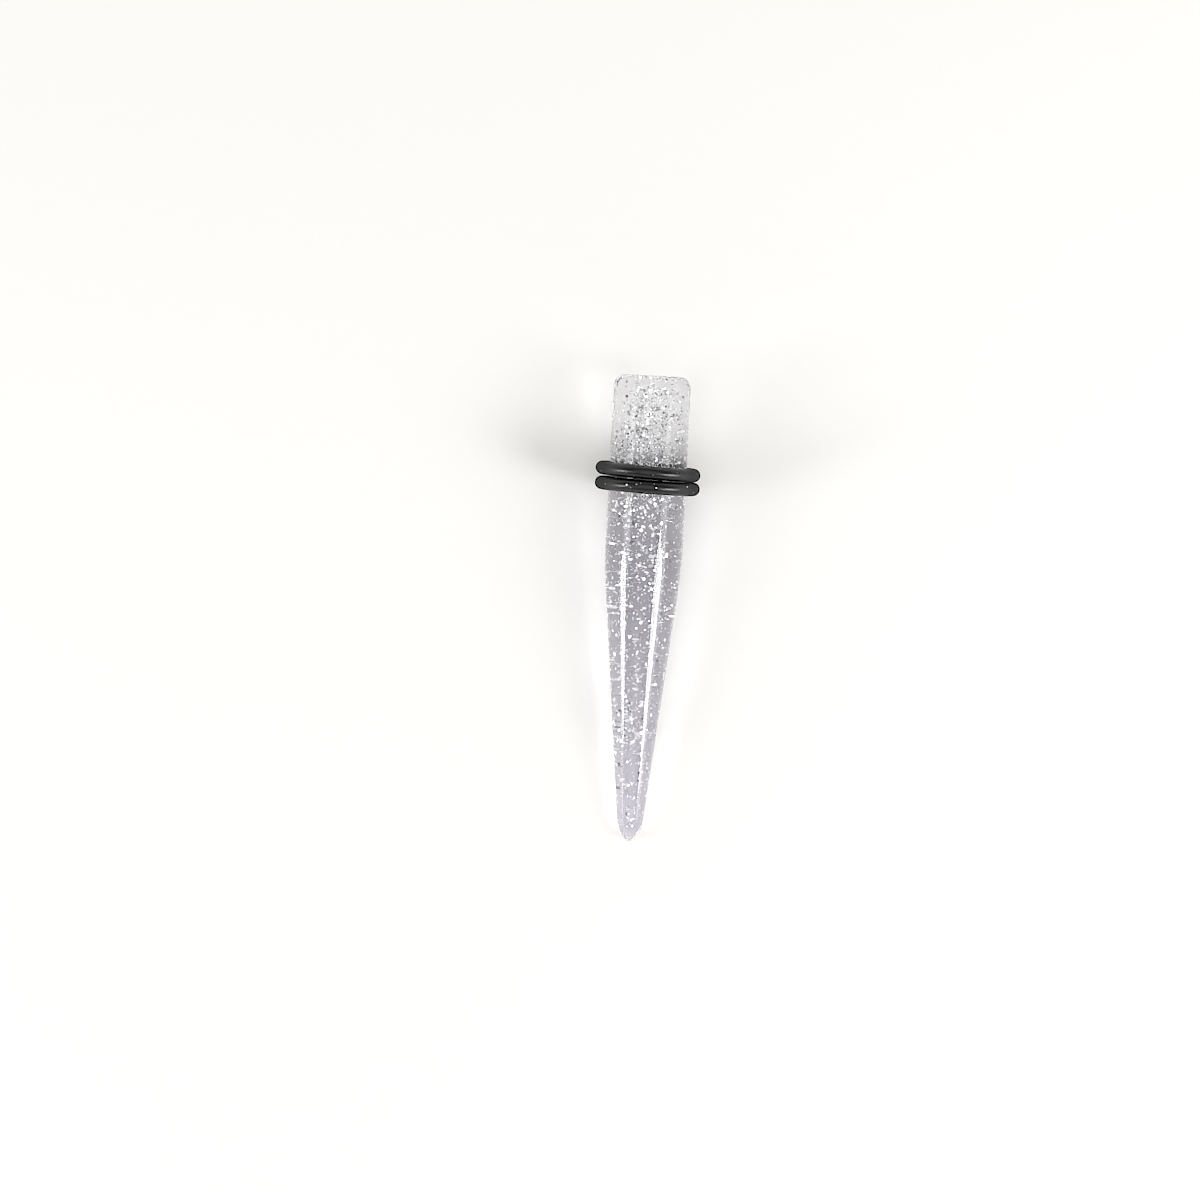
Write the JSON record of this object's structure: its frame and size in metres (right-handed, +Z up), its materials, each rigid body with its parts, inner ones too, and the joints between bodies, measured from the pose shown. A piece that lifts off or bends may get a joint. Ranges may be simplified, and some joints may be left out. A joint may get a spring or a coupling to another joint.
{
  "type": "ear stretching taper",
  "caption": "Clear glitter acrylic spike that stretches a pierced ear lobe: flat head, straight worn stretch, long cone and blunt tip, with rubber O-rings that keep it in place.",
  "frame": {"origin": "centre of the bounding box in X and Y, on the surface that the taper lies on", "axes": "+Z up; the long axis lies in the YZ plane with the head towards +Y, raised 6.57 degrees, and the tip towards -Y"},
  "size_m": [0.0134, 0.06, 0.0135],
  "materials": {
    "clear_acrylic": "polished clear acrylic with a faint lavender-grey tint",
    "black_rubber": "satin moulded black rubber",
    "silver_glitter": "mirror-bright flakes cast inside the acrylic"
  },
  "bodies": {
    "root": {"taper": "clear_acrylic", "head_ring": "black_rubber", "tip_ring": "black_rubber"}
  },
  "joints": []
}
